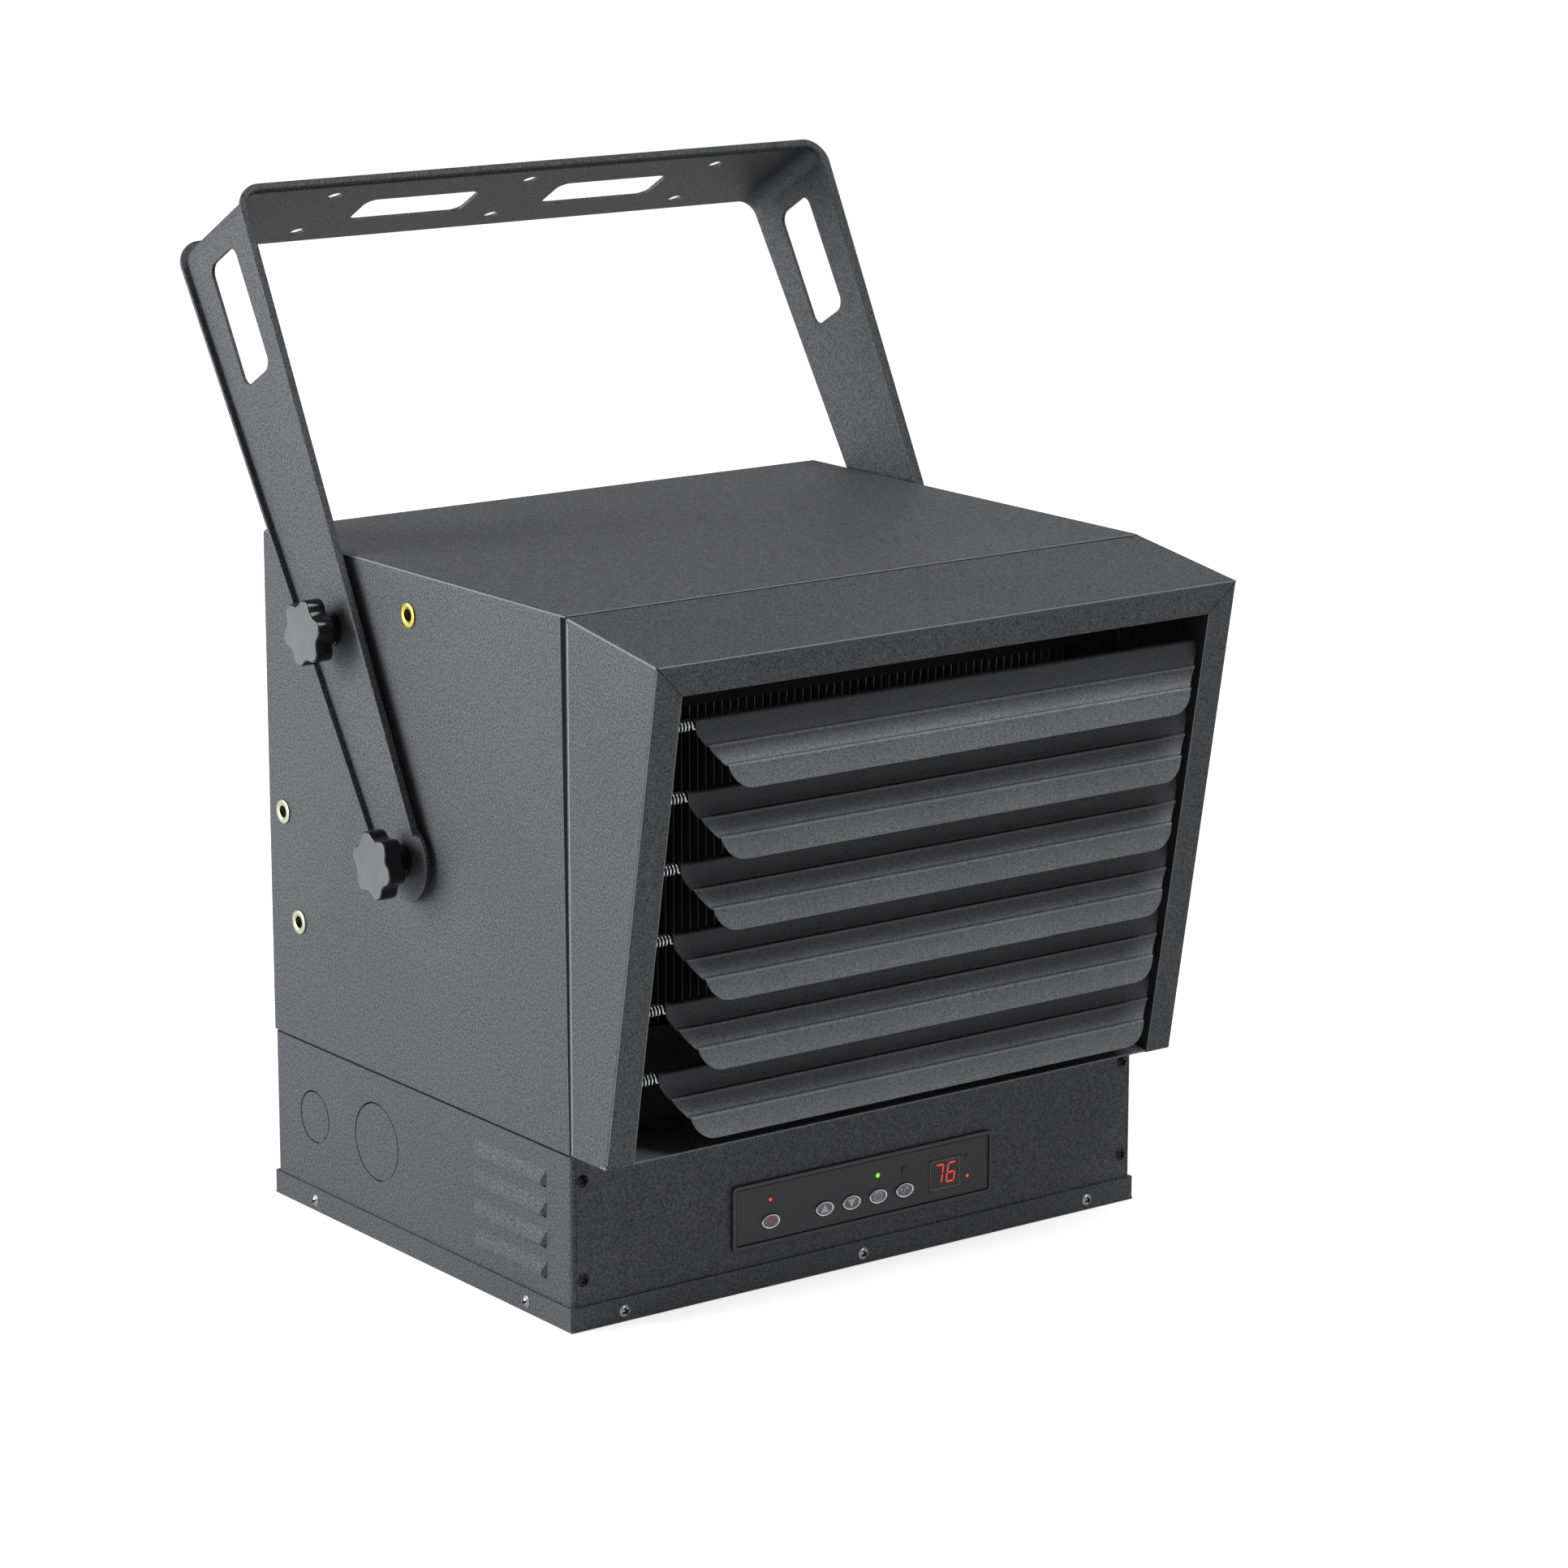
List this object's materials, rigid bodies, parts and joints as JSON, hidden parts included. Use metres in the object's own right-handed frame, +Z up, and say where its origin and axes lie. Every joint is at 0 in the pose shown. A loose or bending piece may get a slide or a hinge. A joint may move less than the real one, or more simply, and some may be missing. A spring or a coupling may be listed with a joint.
{
  "type": "ceiling mounted fan heater",
  "caption": "Box-shaped electric fan heater with a sloping louvred outlet over a control panel, hung from a tilting U bracket locked by hand knobs.",
  "frame": {"origin": "centre of the base tray's underside", "axes": "+X to the right seen from the front, +Y to the back, +Z up; the louvred outlet faces -Y"},
  "size_m": [0.4554, 0.4768, 0.6014],
  "materials": {
    "board_green": "solder mask",
    "coat": "fine texture powder coat",
    "copper": "enamelled winding",
    "dull_steel": "dull",
    "element_steel": "oxidised",
    "lens_dark": "clear tinted",
    "lens_red": "clear tinted",
    "nylon": "moulded, matte",
    "panel_plastic": "moulded, fine texture",
    "plastic_black": "moulded phenolic, gloss",
    "plastic_grey": "moulded, matte",
    "sintered_bronze": "sintered",
    "steel": "mill finish",
    "yellow_zinc": "yellow zinc plate",
    "zinc": "bright zinc plate"
  },
  "bodies": {
    "casing": {"casing_shell": "coat", "rear_panel": "coat", "rear_guard": "zinc", "guard_screws": "zinc", "hood": "coat", "outlet_sill": "coat", "divider_shelf": "coat", "control_box": "coat", "front_plate": "coat", "base_tray": "coat", "tray_screws": "steel", "plate_screws": "plastic_black", "rivet_nuts": "yellow_zinc", "pivot_spacers": "nylon", "control_panel": "panel_plastic", "display_lens": "lens_red", "light_lenses": "lens_red", "receiver_window": "lens_dark", "display_board": "board_green", "key_switches": "plastic_black", "power_board": "board_green", "relays": "plastic_black", "transformer": "dull_steel", "terminal_block": "nylon", "earth_screw": "steel", "heater_fins": "steel", "heater_tubes": "element_steel", "heater_frame": "steel", "limit_switch": "plastic_black", "motor_housing": "dull_steel", "motor_stator": "copper", "motor_bushes": "sintered_bronze", "motor_mount": "zinc", "louvre_rods": "zinc", "louvre_springs": "steel"},
    "bracket": {"bracket": "coat", "arm_washers": "plastic_black"},
    "knob_lower_left": {"knob_grip_lower_left": "plastic_black", "knob_stud_lower_left": "zinc"},
    "knob_lower_right": {"knob_grip_lower_right": "plastic_black", "knob_stud_lower_right": "zinc"},
    "knob_upper_left": {"knob_grip_upper_left": "plastic_black", "knob_stud_upper_left": "zinc"},
    "knob_upper_right": {"knob_grip_upper_right": "plastic_black", "knob_stud_upper_right": "zinc"},
    "louvre_1": {"louvre_1": "coat"},
    "louvre_2": {"louvre_2": "coat"},
    "louvre_3": {"louvre_3": "coat"},
    "louvre_4": {"louvre_4": "coat"},
    "louvre_5": {"louvre_5": "coat"},
    "louvre_6": {"louvre_6": "coat"},
    "fan": {"fan_blades": "dull_steel", "motor_rotor": "dull_steel", "motor_shaft": "steel"},
    "button_power": {"button_power": "plastic_grey"},
    "button_up": {"button_up": "plastic_grey"},
    "button_down": {"button_down": "plastic_grey"},
    "button_timer": {"button_timer": "plastic_grey"},
    "button_unit": {"button_unit": "plastic_grey"}
  },
  "joints": [
    {"name": "bracket_tilt", "type": "hinge", "parent": "casing", "child": "bracket", "pos_m": [0, 0, 0.237], "axis": [1, 0, 0], "range_deg": [-87, 30]},
    {"name": "knob_lower_left_turn", "type": "hinge", "parent": "casing", "child": "knob_lower_left", "pos_m": [-0.222, 0, 0.237], "axis": [-1, 0, 0], "continuous": true},
    {"name": "knob_upper_left_turn", "type": "hinge", "parent": "bracket", "child": "knob_upper_left", "pos_m": [-0.222, 0.07, 0.35824], "axis": [-1, 0, 0], "continuous": true},
    {"name": "knob_lower_right_turn", "type": "hinge", "parent": "casing", "child": "knob_lower_right", "pos_m": [0.222, 0, 0.237], "axis": [1, 0, 0], "continuous": true},
    {"name": "knob_upper_right_turn", "type": "hinge", "parent": "bracket", "child": "knob_upper_right", "pos_m": [0.222, 0.07, 0.35824], "axis": [1, 0, 0], "continuous": true},
    {"name": "louvre_1_turn", "type": "hinge", "parent": "casing", "child": "louvre_1", "pos_m": [0.007, -0.22506, 0.35111], "axis": [-1, 0, 0], "range_deg": [-24, 30]},
    {"name": "louvre_2_turn", "type": "hinge", "parent": "casing", "child": "louvre_2", "pos_m": [0.007, -0.21791, 0.31054], "axis": [-1, 0, 0], "range_deg": [-24, 30]},
    {"name": "louvre_3_turn", "type": "hinge", "parent": "casing", "child": "louvre_3", "pos_m": [0.007, -0.21075, 0.26996], "axis": [-1, 0, 0], "range_deg": [-24, 30]},
    {"name": "louvre_4_turn", "type": "hinge", "parent": "casing", "child": "louvre_4", "pos_m": [0.007, -0.20359, 0.22939], "axis": [-1, 0, 0], "range_deg": [-24, 30]},
    {"name": "louvre_5_turn", "type": "hinge", "parent": "casing", "child": "louvre_5", "pos_m": [0.007, -0.19644, 0.18882], "axis": [-1, 0, 0], "range_deg": [-24, 30]},
    {"name": "louvre_6_turn", "type": "hinge", "parent": "casing", "child": "louvre_6", "pos_m": [0.007, -0.18928, 0.14824], "axis": [-1, 0, 0], "range_deg": [-24, 30]},
    {"name": "fan_spin", "type": "hinge", "parent": "casing", "child": "fan", "pos_m": [0, 0.136, 0.2515], "axis": [0, 1, 0], "continuous": true},
    {"name": "button_power_press", "type": "slide", "parent": "casing", "child": "button_power", "axis": [0, 1, 0], "range_m": [0, 0.0008], "stiffness_N_per_m": 400},
    {"name": "button_up_press", "type": "slide", "parent": "casing", "child": "button_up", "axis": [0, 1, 0], "range_m": [0, 0.0008], "stiffness_N_per_m": 400},
    {"name": "button_down_press", "type": "slide", "parent": "casing", "child": "button_down", "axis": [0, 1, 0], "range_m": [0, 0.0008], "stiffness_N_per_m": 400},
    {"name": "button_timer_press", "type": "slide", "parent": "casing", "child": "button_timer", "axis": [0, 1, 0], "range_m": [0, 0.0008], "stiffness_N_per_m": 400},
    {"name": "button_unit_press", "type": "slide", "parent": "casing", "child": "button_unit", "axis": [0, 1, 0], "range_m": [0, 0.0008], "stiffness_N_per_m": 400}
  ]
}
